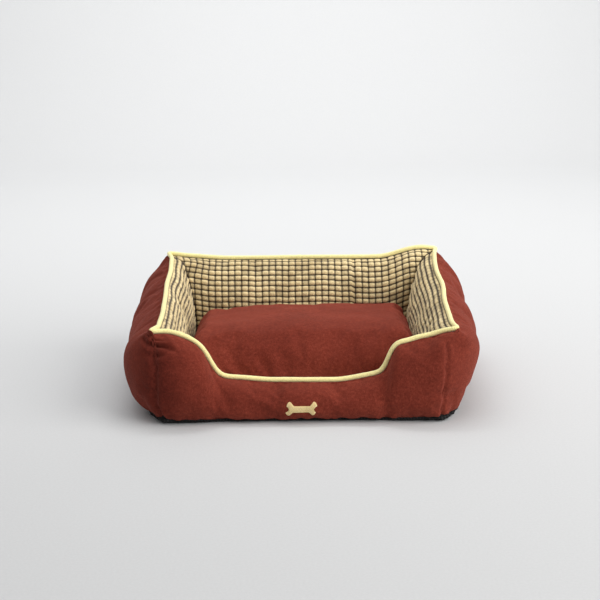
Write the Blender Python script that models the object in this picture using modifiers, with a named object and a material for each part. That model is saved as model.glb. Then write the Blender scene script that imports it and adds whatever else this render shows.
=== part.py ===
"""A bolster bed for a small pet.

Four stuffed walls stand on a non-slip base. Each wall is a suede outer panel, a plush lining panel and a
fibre filling, closed along the top by a piped seam. The front wall dips to an entry. A zipped seat cushion
lies loose in the well.

The origin is at the middle of the base, on the floor. +Z is up and the entry faces -Y. Lengths are in metres.
"""

import math

import bmesh
import bpy
from mathutils import Vector

# Overall sizes, over the widest part of the walls and up to the top of the piping.
WIDTH = 0.600
DEPTH = 0.440
BACK_HEIGHT = 0.200
FRONT_HEIGHT = 0.154
BACK_SAG = 0.008

# The dip in the front wall.
ENTRY_HEIGHT = 0.070
ENTRY_WIDTH = 0.290
ENTRY_SLOPE = 0.080
SHOULDER_DROP = 0.018
SHOULDER_RUN = 0.085

# How far the stuffed walls stand out from their top seam, and where they meet the base.
SIDE_BULGE = 0.056
SIDE_FOOT = 0.020
END_BULGE = 0.047
END_FOOT = 0.030
LINING_BULGE = 0.047
LINING_FOOT = 0.038
ENTRY_BULGE_SHARE = 0.82
WIDEST = 0.45
SIDE_TOP_CURVE = 1.15

# Corners: the ears of the top seam, the corner seams of the outer walls, and how far each corner turns over.
EAR = 0.006
CORNER_SEAM_INSET = 0.006
CORNER_RUN = 0.110
CORNER_RUN_TOP = 0.030
CORNER_FULLNESS = 2.5
CORNER_SEAM_PULL = 1.6
CORNER_FOLD_PULL = 2.0

# Cloth, seams and clearances.
SUEDE = 0.0016
PLUSH = 0.0025
SEAM = 0.0035
GAP = 0.0003
FILL_GAP = 0.0008
PANEL_END_GAP = 0.0004
CORNER_PANEL_GAP = 0.0042
FILL_END_GAP = 0.0080
FILL_FOOT_INSET = 0.010
FILL_TOP_INSET = 0.002

# Piping along the top seam: a cloth sleeve on a cord, butted at the middle of the back.
PIPING_DIAMETER = 0.008
PIPING_CLOTH = 0.0012
PIPING_TURN = 0.008
PIPING_BUTT = 0.002

# Base.
BASE_CLOTH = 0.0030
BASE_LIP = 0.005
WADDING = 0.0050
FLOOR_LINING = 0.0015
FLOOR_CLEARANCE = 0.001

# Seat cushion.
CUSHION_CLEARANCE = 0.004
CUSHION_CROWN = 0.115
CUSHION_SEAM_HEIGHT = 0.046
CUSHION_CLOTH = 0.0015
CUSHION_SEAM = 0.0016
CUSHION_CORNER_PULL = 0.05
CUSHION_CORNER_GAP = 0.0016
CUSHION_CORNER_INSET = 0.009
CUSHION_TOP_FULLNESS = (3.0, 2.6)
CUSHION_BOTTOM_FULLNESS = 6.0

# Zip in the cushion's back seam.
ZIP_LENGTH = 0.240
ZIP_SLOT = 0.0086
ZIP_SLOT_OVERRUN = 0.020
ZIP_SLOT_RUN = 0.015
ZIP_TEETH = 0.0024
ZIP_TEETH_DEPTH = 0.0016
ZIP_TAPE = 0.0008
ZIP_MARGIN = 0.0010
ZIP_ROOM = 0.006
SLIDER = (0.009, 0.002, 0.0066)
PULL = (0.016, 0.0008, 0.0040)
PULL_HOLE = (0.0030, 0.0024)
BAIL_WIRE = 0.0008
BAIL_SINK = 0.0006
SLIDER_EDGE = 0.0004

# Embroidered bone on the front panel.
MOTIF_LENGTH = 0.050
MOTIF_LOBE = 0.012
MOTIF_SHAFT = 0.0055
MOTIF_DENT = 0.006
MOTIF_THREAD = 0.0010
MOTIF_TURN = 0.52
MOTIF_LOBE_START = 0.45
MOTIF_LOBE_RUN = 0.30
MOTIF_TIP_START = 0.80
MOTIF_TIP_ROUNDING = 0.75
MOTIF_DENT_POWER = 6

# How finely the pieces are divided. EVEN_SHARE is the part of a side wall's divisions that are evenly spaced.
# PROBE is the step that finds a surface's normal, and BACK_EDGE is where the cushion's last row starts.
FRONT_STEPS = 28
BACK_STEPS = 10
SIDE_STEPS = 14
PROFILE_STEPS = 6
CUSHION_STEPS = (12, 10)
EVEN_SHARE = 0.4
PROBE = 1e-4
BACK_EDGE = 0.999

SEAM_X = WIDTH / 2 - SIDE_BULGE
SEAM_Y = DEPTH / 2 - END_BULGE
WALL_BASE = BASE_CLOTH + GAP
PIPING_RADIUS = PIPING_DIAMETER / 2
SEAM_DROP = PIPING_DIAMETER + GAP
FLOOR_TOP = BASE_CLOTH + WADDING + FLOOR_LINING + 2 * GAP
WELL_X = SEAM_X - LINING_BULGE
WELL_Y = SEAM_Y - LINING_BULGE
SLIDE_START = ZIP_LENGTH / 2 - SLIDER[0]


def smooth(value):
    """An S-shaped step from 0 to 1."""
    value = min(1.0, max(0.0, value))
    return value * value * (3 - 2 * value)


def entry_rise(x):
    """0 in the dip of the front wall, 1 on its shoulders."""
    return smooth((abs(x) - ENTRY_WIDTH / 2 + ENTRY_SLOPE / 2) / ENTRY_SLOPE)


def front_top(x):
    shoulder = FRONT_HEIGHT - SHOULDER_DROP
    climb = smooth((abs(x) - ENTRY_WIDTH / 2) / SHOULDER_RUN)
    return ENTRY_HEIGHT + (shoulder - ENTRY_HEIGHT) * entry_rise(x) + SHOULDER_DROP * climb - SEAM_DROP


def back_top(x):
    return BACK_HEIGHT - BACK_SAG * math.cos(math.pi / 2 * min(1.0, abs(x) / SEAM_X)) - SEAM_DROP


def side_top(y):
    share = min(1.0, max(0.0, (y + SEAM_Y) / (2 * SEAM_Y)))
    return FRONT_HEIGHT + (BACK_HEIGHT - FRONT_HEIGHT) * share**SIDE_TOP_CURVE - SEAM_DROP


def profile(turn, reach, foot):
    """How far the wall stands from its top seam, and its height from 0 to 1, for turn 0 (seam) to 1 (base)."""
    angle = math.pi * turn
    if turn < 0.5:
        return SEAM + (reach - SEAM) * math.sin(angle), WIDEST + (1 - WIDEST) * math.cos(angle)
    return foot + (reach - foot) * math.sin(angle), WIDEST + WIDEST * math.cos(angle)


def height(share, top):
    return WALL_BASE + (top - WALL_BASE) * share


def corner_seam_x(turn):
    """Half the width between the corner seams of the outer walls."""
    out, _ = profile(turn, SIDE_BULGE, SIDE_FOOT)
    ear_x = SEAM_X + EAR
    return ear_x - (EAR + CORNER_SEAM_INSET) * smooth(CORNER_SEAM_PULL * (out - SEAM) / SIDE_BULGE)


def lining_corner_x(turn):
    """Half the width between the corner folds of the lining."""
    out, _ = profile(turn, LINING_BULGE, LINING_FOOT)
    return SEAM_X - out + EAR * (1 - smooth(CORNER_FOLD_PULL * (out - SEAM) / LINING_BULGE))


def end_wall(sign, outer):
    """The surface of the front (-1) or back (1) wall, over (along, turn)."""

    def point(along, turn):
        corner = corner_seam_x if outer else lining_corner_x
        side = -sign * (2 * along - 1)
        x = side * corner(turn)
        seam_x = side * corner(0)
        top = front_top(seam_x) if sign < 0 else back_top(seam_x)
        share = ENTRY_BULGE_SHARE + (1 - ENTRY_BULGE_SHARE) * entry_rise(seam_x) if sign < 0 else 1.0
        reach = share * (END_BULGE if outer else LINING_BULGE)
        foot = share * (END_FOOT if outer else LINING_FOOT)
        out, up = profile(turn, reach, foot)
        return Vector((x, sign * (SEAM_Y + (out if outer else -out)), height(up, top)))

    return point


def side_wall(sign, outer):
    """The surface of the right (1) or left (-1) wall, over (along, turn)."""

    def point(along, turn):
        reach = SIDE_BULGE if outer else LINING_BULGE
        foot = SIDE_FOOT if outer else LINING_FOOT
        out, up = profile(turn, reach, foot)
        end_out, _ = profile(turn, END_BULGE if outer else LINING_BULGE, END_FOOT if outer else LINING_FOOT)
        end_y = SEAM_Y + (end_out if outer else -end_out)
        share = (1 - math.cos(math.pi * along)) / 2 * (1 - EVEN_SHARE) + along * EVEN_SHARE
        y = end_y * (2 * share - 1)
        seam_y = SEAM_Y * (2 * share - 1)
        x_mid = SEAM_X + (out if outer else -out)
        x_end = corner_seam_x(turn) if outer else lining_corner_x(turn)
        lengthening = (CORNER_RUN - CORNER_RUN_TOP) * (out - SEAM) / reach if outer else 0.0
        run = min(CORNER_RUN_TOP + lengthening, end_y)
        near = max(0.0, 1 - (end_y - abs(y)) / run) ** CORNER_FULLNESS
        x = x_mid + (x_end - x_mid) * near
        return Vector((sign * x, sign * y, height(up, side_top(sign * seam_y))))

    return point


def normal_at(point, along, turn, flip):
    """The unit normal of a wall surface, away from the filling."""
    back = 1 if along < 0.5 else -1
    down = 1 if turn < 0.5 else -1
    here = point(along, turn)
    by_along = (point(along + back * PROBE, turn) - here) * back
    by_turn = (point(along, turn + down * PROBE) - here) * down
    return by_turn.cross(by_along).normalized() * (-1 if flip else 1)


def in_plane(direction, across):
    """The direction without its part along across, scaled so that a step along it goes one unit along direction."""
    flat = direction - across * direction.dot(across)
    return flat / flat.length_squared


def material(name, colour, roughness, metallic=0.0):
    made = bpy.data.materials.new(name)
    made.use_nodes = True
    shader = made.node_tree.nodes["Principled BSDF"]
    shader.inputs["Base Color"].default_value = (*colour, 1)
    shader.inputs["Roughness"].default_value = roughness
    shader.inputs["Metallic"].default_value = metallic
    return made


def finish(name, mesh, finish_material, smooth_shading=True):
    """A named object in the bed's collection, from a bmesh."""
    data = bpy.data.meshes.new(name)
    mesh.to_mesh(data)
    mesh.free()
    if smooth_shading:
        data.shade_smooth()
    data.materials.append(finish_material)
    made = bpy.data.objects.new(name, data)
    PARTS.objects.link(made)
    return made


def solidify(made, thickness):
    shell = made.modifiers.new("cloth", "SOLIDIFY")
    shell.thickness = thickness
    shell.offset = -1
    return made


def split_quads(mesh):
    """Splits every quad along its shorter diagonal, so that a filling bends as the cloth over it does."""
    bmesh.ops.triangulate(mesh, faces=mesh.faces, quad_method="SHORT_EDGE")


def face_out(mesh):
    """Turns a closed mesh's faces outwards."""
    split_quads(mesh)
    bmesh.ops.recalc_face_normals(mesh, faces=mesh.faces)
    if mesh.calc_volume(signed=True) < 0:
        bmesh.ops.reverse_faces(mesh, faces=mesh.faces)


def cloth_panel(name, place, columns, rows, thickness, finish_material):
    """A sheet from a grid, placed by a formula over two shares from 0 to 1, then given its thickness."""
    mesh = bmesh.new()
    bmesh.ops.create_grid(mesh, x_segments=columns, y_segments=rows, size=0.5)
    for corner in mesh.verts:
        corner.co = place(corner.co.x + 0.5, corner.co.y + 0.5)
    split_quads(mesh)
    return solidify(finish(name, mesh, finish_material), thickness)


def block(steps):
    """A cube from -0.5 to 0.5, divided along X, Y and Z."""
    mesh = bmesh.new()
    bmesh.ops.create_cube(mesh, size=1)
    for axis, count in enumerate(steps):
        along = [
            edge
            for edge in mesh.edges
            if abs(edge.verts[0].co[axis] - edge.verts[1].co[axis]) > 0.5
        ]
        bmesh.ops.subdivide_edges(mesh, edges=along, cuts=count - 1, use_grid_fill=True)
    return mesh


def held_back(along, inset):
    """The share along a wall, with only its two ends moved in."""
    return min(max(along, inset), 1 - inset)


def outer_panel(name, point, steps, end_gap, finish_material):
    def place(turn, along):
        return point(held_back(along, end_gap(turn)), turn)

    return cloth_panel(name, place, PROFILE_STEPS, steps, SUEDE, finish_material)


def lining_panel(name, point, steps, end_gap, finish_material):
    def place(along, turn):
        return point(held_back(along, end_gap(turn)), turn)

    return cloth_panel(name, place, steps, PROFILE_STEPS, PLUSH, finish_material)


def bolster_fill(name, outer, inner, steps, end_gap, finish_material):
    """The filling between a wall's two panels. Its ends are flat from corner seam to corner fold."""
    mesh = block((steps, PROFILE_STEPS, 2))
    for corner in mesh.verts:
        along, turn, across = (value + 0.5 for value in corner.co)
        place = held_back(along, end_gap(turn))
        out = outer(place, turn)
        into = inner(place, turn)
        out_normal = normal_at(outer, place, turn, False)
        into_normal = normal_at(inner, place, turn, True)
        if along in (0.0, 1.0):
            across_end = (into - out).cross(Vector((0, 0, 1))).normalized()
            out_normal = in_plane(out_normal, across_end)
            into_normal = in_plane(into_normal, across_end)
        out -= out_normal * (SUEDE + FILL_GAP)
        into -= into_normal * (PLUSH + FILL_GAP)
        if turn == 0.0:
            out.z -= FILL_TOP_INSET
            into.z -= FILL_TOP_INSET
        if turn == 1.0:
            chord = (into - out).normalized()
            out += chord * FILL_FOOT_INSET
            into -= chord * FILL_FOOT_INSET
            out.z = WALL_BASE
            into.z = WALL_BASE
        corner.co = out.lerp(into, across)
    face_out(mesh)
    return finish(name, mesh, finish_material)


def wall(name, make, sign, steps, outer_end, lining_end, fill_end):
    """One stuffed wall: outer panel, lining and filling."""
    outer = make(sign, True)
    inner = make(sign, False)
    outer_panel(f"outer_{name}_panel", outer, steps, outer_end, SUEDE_CLOTH)
    lining_panel(f"{name}_lining", inner, steps, lining_end, PLUSH_CLOTH)
    bolster_fill(f"{name}_bolster_fill", outer, inner, steps, fill_end, FIBRE)


def walls():
    """End walls stop at the corner seams; side walls turn the corners and stop short of the end walls."""

    def end_share(gap):
        return lambda turn: gap / (2 * corner_seam_x(turn))

    def side_share(gap):
        # A side wall's divisions are closer at its ends, so a small share covers less of its length there.
        return lambda turn: gap / (EVEN_SHARE * 2 * SEAM_Y)

    for name, sign, steps in (("front", -1, FRONT_STEPS), ("back", 1, BACK_STEPS)):
        panel_end = end_share(PANEL_END_GAP)
        wall(name, end_wall, sign, steps, panel_end, panel_end, end_share(FILL_END_GAP))
    for name, sign in (("right", 1), ("left", -1)):
        wall(
            name,
            side_wall,
            sign,
            SIDE_STEPS,
            side_share(CORNER_PANEL_GAP),
            side_share(PANEL_END_GAP),
            side_share(FILL_END_GAP),
        )


def seam_line():
    """The top seam, once round from the middle of the back, with a small turn at each ear."""

    def share(steps, index):
        return index / steps

    def run(make, sign, steps, first, last):
        outer = make(sign, True)
        inner = make(sign, False)
        return [
            (outer(share(steps, index), 0) + inner(share(steps, index), 0)) / 2
            for index in range(first, last)
        ]

    half = BACK_STEPS // 2
    back = run(end_wall, 1, BACK_STEPS, 0, BACK_STEPS + 1)
    left = run(side_wall, -1, SIDE_STEPS, 1, SIDE_STEPS)
    front = run(end_wall, -1, FRONT_STEPS, 0, FRONT_STEPS + 1)
    right = run(side_wall, 1, SIDE_STEPS, 1, SIDE_STEPS)
    ring = back[half:] + left + front + right + back[: half + 1]
    ring[0] = ring[0] - Vector((PIPING_BUTT / 2, 0, 0))
    ring[-1] = ring[-1] + Vector((PIPING_BUTT / 2, 0, 0))
    return turned_corners(ring)


def turned_corners(ring):
    """Replaces each sharp corner of a line with a short round turn."""
    made = [ring[0]]
    for before, here, after in zip(ring, ring[1:], ring[2:]):
        into = (here - before).normalized()
        out = (after - here).normalized()
        if into.dot(out) > 0.5:
            made.append(here)
            continue
        start = here - into * PIPING_TURN
        end = here + out * PIPING_TURN
        for index in range(5):
            part = index / 4
            made.append(start.lerp(here, part).lerp(here.lerp(end, part), part))
    made.append(ring[-1])
    return made


def piping_path():
    """The middle of the piping, which lies on the top seam."""
    seam = seam_line()
    path = []
    for index, here in enumerate(seam):
        before = seam[max(0, index - 1)]
        after = seam[min(len(seam) - 1, index + 1)]
        along = (after - before).normalized()
        up = Vector((0, 0, 1)) - along * along.z
        path.append(here + up.normalized() * (PIPING_RADIUS + GAP))
    return path


def tube(name, path, radius, caps, finish_material):
    data = bpy.data.curves.new(name, "CURVE")
    data.dimensions = "3D"
    data.bevel_depth = radius
    data.bevel_resolution = 1
    data.use_fill_caps = caps
    line = data.splines.new("POLY")
    line.points.add(len(path) - 1)
    for knot, place in zip(line.points, path):
        knot.co = (*place, 1)
    data.materials.append(finish_material)
    made = bpy.data.objects.new(name, data)
    PARTS.objects.link(made)
    return made


def piping():
    path = piping_path()
    solidify(tube("piping_cover", path, PIPING_RADIUS, False, PIPING_COTTON), PIPING_CLOTH)
    tube("piping_cord", path, PIPING_RADIUS - PIPING_CLOTH - GAP, True, CORD)


def flat_plate(name, outline, low, high, finish_material):
    """A flat piece from its outline, between two heights."""
    data = bpy.data.curves.new(name, "CURVE")
    data.dimensions = "2D"
    data.fill_mode = "BOTH"
    data.extrude = (high - low) / 2
    line = data.splines.new("POLY")
    line.use_cyclic_u = True
    line.points.add(len(outline) - 1)
    for knot, place in zip(line.points, outline):
        knot.co = (place.x, place.y, 0, 1)
    data.materials.append(finish_material)
    made = bpy.data.objects.new(name, data)
    made.location.z = (low + high) / 2
    PARTS.objects.link(made)
    return made


def base_outline():
    """The foot of the outer walls, seen from above, with a lip all round."""
    outline = []
    for make, sign, steps in (
        (end_wall, -1, FRONT_STEPS // 2),
        (side_wall, 1, SIDE_STEPS),
        (end_wall, 1, BACK_STEPS),
        (side_wall, -1, SIDE_STEPS),
    ):
        outer = make(sign, True)
        for index in range(steps):
            foot = outer(index / steps, 1)
            foot.z = 0
            outline.append(foot + foot.normalized() * BASE_LIP)
    return outline


def floor_outline():
    """The well between the feet of the linings, seen from above."""
    reach, _ = profile(1 - 1 / PROFILE_STEPS, LINING_BULGE, LINING_FOOT)
    half_x = SEAM_X - reach - FLOOR_CLEARANCE
    half_y = SEAM_Y - reach - FLOOR_CLEARANCE
    return [Vector((x * half_x, y * half_y, 0)) for x, y in ((-1, -1), (1, -1), (1, 1), (-1, 1))]


def base():
    flat_plate("base_panel", base_outline(), 0, BASE_CLOTH, NON_SLIP)
    low = BASE_CLOTH + GAP
    flat_plate("base_wadding", floor_outline(), low, low + WADDING, FIBRE)
    low += WADDING + GAP
    flat_plate("base_lining", floor_outline(), low, low + FLOOR_LINING, SUEDE_CLOTH)


def motif():
    """A bone, laid on the front panel."""
    front = end_wall(-1, True)

    def place(along, up):
        side = 2 * along - 1
        rise = 2 * up - 1
        widening = smooth((abs(side) - MOTIF_LOBE_START) / MOTIF_LOBE_RUN)
        lobe = MOTIF_SHAFT + (MOTIF_LOBE - MOTIF_SHAFT) * widening
        tip = max(0.0, (abs(side) - MOTIF_TIP_START) / (1 - MOTIF_TIP_START))
        lobe *= math.sqrt(1 - MOTIF_TIP_ROUNDING * tip**2)
        x = side * (MOTIF_LENGTH / 2 - MOTIF_DENT * (1 - rise * rise) * abs(side) ** MOTIF_DENT_POWER)
        share = 0.5 + x / (2 * corner_seam_x(MOTIF_TURN))
        drop = rise * lobe / (math.pi * WIDEST * (ENTRY_HEIGHT - WALL_BASE))
        turn = MOTIF_TURN - drop
        return front(share, turn) + normal_at(front, share, turn, False) * (GAP + MOTIF_THREAD)

    cloth_panel("front_motif", place, 20, 4, MOTIF_THREAD, THREAD)


def cushion_bounds():
    """Half the cushion's width, and its front and back edges."""
    half_x = WELL_X - CUSHION_CLEARANCE
    edge = WELL_Y - CUSHION_CLEARANCE
    return half_x, -edge, edge - ZIP_ROOM


def cushion_face(top):
    """The upper or lower face of the cushion, over two shares from 0 to 1."""
    half_x, front, back = cushion_bounds()
    high = CUSHION_CROWN - CUSHION_SEAM_HEIGHT
    low = CUSHION_SEAM_HEIGHT - FLOOR_TOP - GAP

    def place(along, deep):
        across = math.sin(math.pi / 2 * (2 * along - 1))
        back_share = math.sin(math.pi / 2 * (2 * deep - 1))
        x = half_x * across * (1 - CUSHION_CORNER_PULL * back_share**2)
        y = (front + back) / 2 + (back - front) / 2 * back_share * (1 - CUSHION_CORNER_PULL * across**4)
        slot = CUSHION_SEAM / 2 + CUSHION_CORNER_GAP * (across * back_share) ** 8
        if back_share > BACK_EDGE:
            past_zip = ZIP_LENGTH / 2 + ZIP_SLOT_OVERRUN - abs(x)
            slot += (ZIP_SLOT / 2 - slot) * smooth(past_zip / ZIP_SLOT_RUN)
        if top:
            over_x, over_y = CUSHION_TOP_FULLNESS
            full = math.sqrt(max(0.0, 1 - abs(across) ** over_x) * max(0.0, 1 - abs(back_share) ** over_y))
            return Vector((x, y, CUSHION_SEAM_HEIGHT + slot + (high - slot) * full))
        over = CUSHION_BOTTOM_FULLNESS
        full = math.sqrt(max(0.0, 1 - abs(across) ** over) * max(0.0, 1 - abs(back_share) ** over))
        return Vector((x, y, CUSHION_SEAM_HEIGHT - slot - (low - slot) * full))

    return place


def cushion():
    """Two panels sewn round the edge, and their filling."""
    upper = cushion_face(True)
    lower = cushion_face(False)
    cloth_panel("cushion_top_panel", upper, *CUSHION_STEPS, CUSHION_CLOTH, SUEDE_CLOTH)

    def lower_turned(deep, along):
        return lower(along, deep)

    cloth_panel("cushion_bottom_panel", lower_turned, *CUSHION_STEPS[::-1], CUSHION_CLOTH, SUEDE_CLOTH)
    mesh = block((*CUSHION_STEPS, 1))
    inset = CUSHION_CLOTH + FILL_GAP
    for corner in mesh.verts:
        along, deep, up = (value + 0.5 for value in corner.co)
        face = upper if up > 0.5 else lower
        away = normal_at(face, along, deep, up > 0.5)
        corner.co = face(along, deep) - away * inset
        if along in (0.0, 1.0) and deep in (0.0, 1.0):
            corner.co -= Vector((corner.co.x, corner.co.y, 0)).normalized() * CUSHION_CORNER_INSET
    face_out(mesh)
    return finish("cushion_fill", mesh, FIBRE)


def box(name, size, middle, finish_material, bevel=0.0):
    mesh = bmesh.new()
    bmesh.ops.create_cube(mesh, size=1)
    bmesh.ops.scale(mesh, vec=Vector(size), verts=mesh.verts)
    made = finish(name, mesh, finish_material, smooth_shading=False)
    made.location = middle
    if bevel:
        edge = made.modifiers.new("edge", "BEVEL")
        edge.width = bevel
        edge.segments = 2
    return made


def zip_fastener():
    """Two tapes and the closed teeth in the back seam's slot, and the slider with its pull outside them."""
    _, _, back = cushion_bounds()
    seam = CUSHION_SEAM_HEIGHT
    tape_high = ZIP_SLOT / 2 - ZIP_TEETH / 2 - GAP - ZIP_MARGIN
    tape_y = back - ZIP_TAPE
    for name, side in (("upper", 1), ("lower", -1)):
        middle = seam + side * (ZIP_TEETH / 2 + GAP + tape_high / 2)
        box(f"zip_tape_{name}", (ZIP_LENGTH, ZIP_TAPE, tape_high), (0, tape_y, middle), TAPE)
    box("zip_teeth", (ZIP_LENGTH, ZIP_TEETH_DEPTH, ZIP_TEETH), (0, tape_y, seam), NYLON)
    slider_y = tape_y + ZIP_TEETH_DEPTH / 2 + GAP + SLIDER[1] / 2
    slider = box("zip_slider", SLIDER, (SLIDE_START, slider_y, seam), ZINC, SLIDER_EDGE)
    bail(slider, slider_y)
    pull(slider_y)


def bail_reach():
    return PULL[1] + 2 * GAP + BAIL_WIRE


def bail(slider, slider_y):
    """The slider's wire loop, joined to its body."""
    face = slider_y + SLIDER[1] / 2
    half = PULL_HOLE[0] / 2 - GAP - BAIL_WIRE / 2
    out = face + bail_reach() - BAIL_WIRE / 2
    sunk = face - BAIL_SINK
    path = [(-half, sunk), (-half, out), (half, out), (half, sunk)]
    loop = tube(
        "zip_bail",
        [Vector((SLIDE_START + x, y, CUSHION_SEAM_HEIGHT)) for x, y in path],
        BAIL_WIRE / 2,
        True,
        ZINC,
    )
    graph = bpy.context.evaluated_depsgraph_get()
    mesh = bmesh.new()
    mesh.from_mesh(bpy.data.meshes.new_from_object(loop.evaluated_get(graph)))
    bmesh.ops.remove_doubles(mesh, verts=mesh.verts, dist=1e-6)
    PARTS.objects.unlink(loop)
    bpy.data.objects.remove(loop)
    cutter = finish("bail_wire", mesh, ZINC)
    as_helper(cutter)
    join = slider.modifiers.new("bail", "BOOLEAN")
    join.operation = "UNION"
    join.object = cutter


def as_helper(made):
    PARTS.objects.unlink(made)
    HELPERS.objects.link(made)
    made.hide_render = True
    made.display_type = "WIRE"


def pull(slider_y):
    """The pull tab, lying along the zip, with the slider's loop through its hole."""
    face = slider_y + SLIDER[1] / 2
    y = face + GAP + PULL[1] / 2
    middle = SLIDE_START - PULL[0] / 2 + PULL_HOLE[0]
    tab = box("zip_pull", PULL, (middle, y, CUSHION_SEAM_HEIGHT), ZINC)
    hole = box(
        "pull_hole",
        (PULL_HOLE[0], 4 * PULL[1], PULL_HOLE[1]),
        (SLIDE_START, y, CUSHION_SEAM_HEIGHT),
        ZINC,
    )
    as_helper(hole)
    cut = tab.modifiers.new("hole", "BOOLEAN")
    cut.operation = "DIFFERENCE"
    cut.object = hole


for leftover in list(bpy.data.objects):
    bpy.data.objects.remove(leftover)
PARTS = bpy.data.collections.new("pet_bed")
HELPERS = bpy.data.collections.new("helpers")
bpy.context.scene.collection.children.link(PARTS)
bpy.context.scene.collection.children.link(HELPERS)

SUEDE_CLOTH = material("suede", (0.155, 0.028, 0.018), 0.85)
PLUSH_CLOTH = material("plush", (0.50, 0.38, 0.22), 0.95)
FIBRE = material("fibre", (0.85, 0.85, 0.83), 0.95)
PIPING_COTTON = material("piping_cotton", (0.78, 0.64, 0.28), 0.8)
CORD = material("cord", (0.80, 0.78, 0.70), 0.9)
NON_SLIP = material("non_slip", (0.012, 0.012, 0.013), 0.9)
THREAD = material("thread", (0.52, 0.33, 0.15), 0.5)
TAPE = material("zip_tape", (0.06, 0.012, 0.009), 0.8)
NYLON = material("zip_teeth", (0.08, 0.016, 0.012), 0.4)
ZINC = material("zip_zinc", (0.45, 0.43, 0.40), 0.35, 0.9)

base()
walls()
piping()
motif()
cushion()
zip_fastener()
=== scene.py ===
"""Looks of the bolster bed for a small pet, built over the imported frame. Lengths are in metres."""

import math

import bmesh
import bpy
import numpy as np
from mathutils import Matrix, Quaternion, Vector


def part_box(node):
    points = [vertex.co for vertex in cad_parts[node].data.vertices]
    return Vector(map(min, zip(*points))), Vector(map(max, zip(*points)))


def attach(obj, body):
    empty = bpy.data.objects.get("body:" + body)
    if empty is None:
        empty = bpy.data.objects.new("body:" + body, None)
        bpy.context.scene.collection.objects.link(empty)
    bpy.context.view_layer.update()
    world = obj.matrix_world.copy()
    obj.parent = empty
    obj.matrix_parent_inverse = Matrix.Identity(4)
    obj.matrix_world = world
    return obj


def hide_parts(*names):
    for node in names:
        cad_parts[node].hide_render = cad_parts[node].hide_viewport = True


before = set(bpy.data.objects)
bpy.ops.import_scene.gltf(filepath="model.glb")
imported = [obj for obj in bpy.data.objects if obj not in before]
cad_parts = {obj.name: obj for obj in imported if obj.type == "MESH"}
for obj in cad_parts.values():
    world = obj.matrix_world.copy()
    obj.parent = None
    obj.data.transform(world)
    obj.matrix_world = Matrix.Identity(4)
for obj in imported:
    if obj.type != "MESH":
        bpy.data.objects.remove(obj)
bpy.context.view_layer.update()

SCENE = bpy.context.scene
WALLS = ("front", "right", "back", "left")
ENDS = ("front", "back")

# Sizes that the frame shares with these pieces.
SEAM_X = 0.244
SEAM_Y = 0.173
EAR = 0.006
WALL_BASE = 0.0033
SEAM = 0.0035
PIPING_RADIUS = 0.004
FLOOR_TOP = 0.0101
SEAT_SEAM = 0.046
SEAT_HALF_X = 0.193
SEAT_FRONT = -0.122
SEAT_BACK = 0.116
ZIP_LENGTH = 0.24

# How far each wall stands out from its top seam before it is filled, where it meets the base,
# and the height of its widest place as a share of the wall.
SIDE_REACH = 0.048
SIDE_FOOT = 0.02
END_REACH = 0.044
END_FOOT = 0.03
LINING_REACH = 0.045
LINING_FOOT = 0.038
WIDEST = 0.45

# The top seam: its height at the entry and the back, and for each shoulder of the entry its place,
# its softness and half its height.
ENTRY_LINE = 0.0597
BACK_LINE = 0.1822
RIGHT_SHOULDER = (0.1418, 0.0108, 0.027)
LEFT_SHOULDER = (0.153, 0.0158, 0.03)
SIDE_CURVE = 1.15

# The lining's raised grid: the size of one bubble, its height, how deep its roots lie below the cloth,
# and the places across one bubble that are modelled.
BUBBLE = (0.0123, 0.01)
BUBBLE_HEIGHT = 0.0052
BUBBLE_SUNK = 0.0026
ACROSS_KNOTS = (0.0, 0.06, 0.17, 0.33, 0.5, 0.67, 0.83, 0.94)
DOWN_KNOTS = (0.0, 0.08, 0.22, 0.42, 0.58, 0.78, 0.92)
CREASE_X = 0.094

# The short folds below the left front ear: start, slope, length, width and depth.
EAR_FOLDS = (
    (0.011, 0.35, 0.03, 0.003, 0.004),
    (0.021, 0.45, 0.05, 0.0042, 0.0074),
    (0.041, 0.1, 0.028, 0.004, 0.0048),
)

SUEDE_THICK = 0.0016
SEAT_SUEDE_THICK = 0.0014
BASE_CLOTH_THICK = 0.0008
FILL_INSET = 0.01
PIPING_STEP = 0.0015
BONE_HALF = 0.0255
BONE_TURN = 0.525
STITCHES = 118
TOOTH_PITCH = 0.0016
CAMERA_ROLL = -0.6


# Small maths


def step(value):
    """An S-shaped step from 0 to 1."""
    value = np.clip(value, 0.0, 1.0)
    return value * value * (3 - 2 * value)


def ease(place, start, run):
    """0 up to start, 1 from start + run, and an S-shaped step between."""
    return step((place - start) / run)


def ripple(places, wavelength, seed, waves=7):
    """A smooth random field over places, about -1 to 1."""
    source = np.random.default_rng(seed)
    total = 0.0
    for _ in range(waves):
        heading = source.normal(size=places.shape[-1])
        heading /= np.linalg.norm(heading)
        pitch = wavelength * source.uniform(0.65, 1.6)
        start = source.uniform(0, 2 * np.pi)
        total = total + np.sin(places @ heading * (2 * np.pi / pitch) + start)
    return total / math.sqrt(waves) / 1.2


def tucks(place, stretch, wavelength, seed, away, fade, height):
    """Small folds that run out of a seam and fade with the distance away from it."""
    return ripple(place * stretch, wavelength, seed) * np.exp(-away / fade) * height


def unit(vectors):
    return vectors / np.maximum(np.linalg.norm(vectors, axis=-1, keepdims=True), 1e-12)


def run_along(points, axis=0):
    """The distance covered at each point of a line, or along one axis of a grid."""
    steps = np.diff(points, axis=axis, prepend=points.take([0], axis))
    return np.cumsum(np.linalg.norm(steps, axis=-1), axis=axis)


def even(path, spacing):
    """The same line with evenly spaced points."""
    length = run_along(path)
    places = np.linspace(0, length[-1], int(round(length[-1] / spacing)) + 1)
    return np.stack([np.interp(places, length, path[:, axis]) for axis in range(3)], -1)


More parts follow.
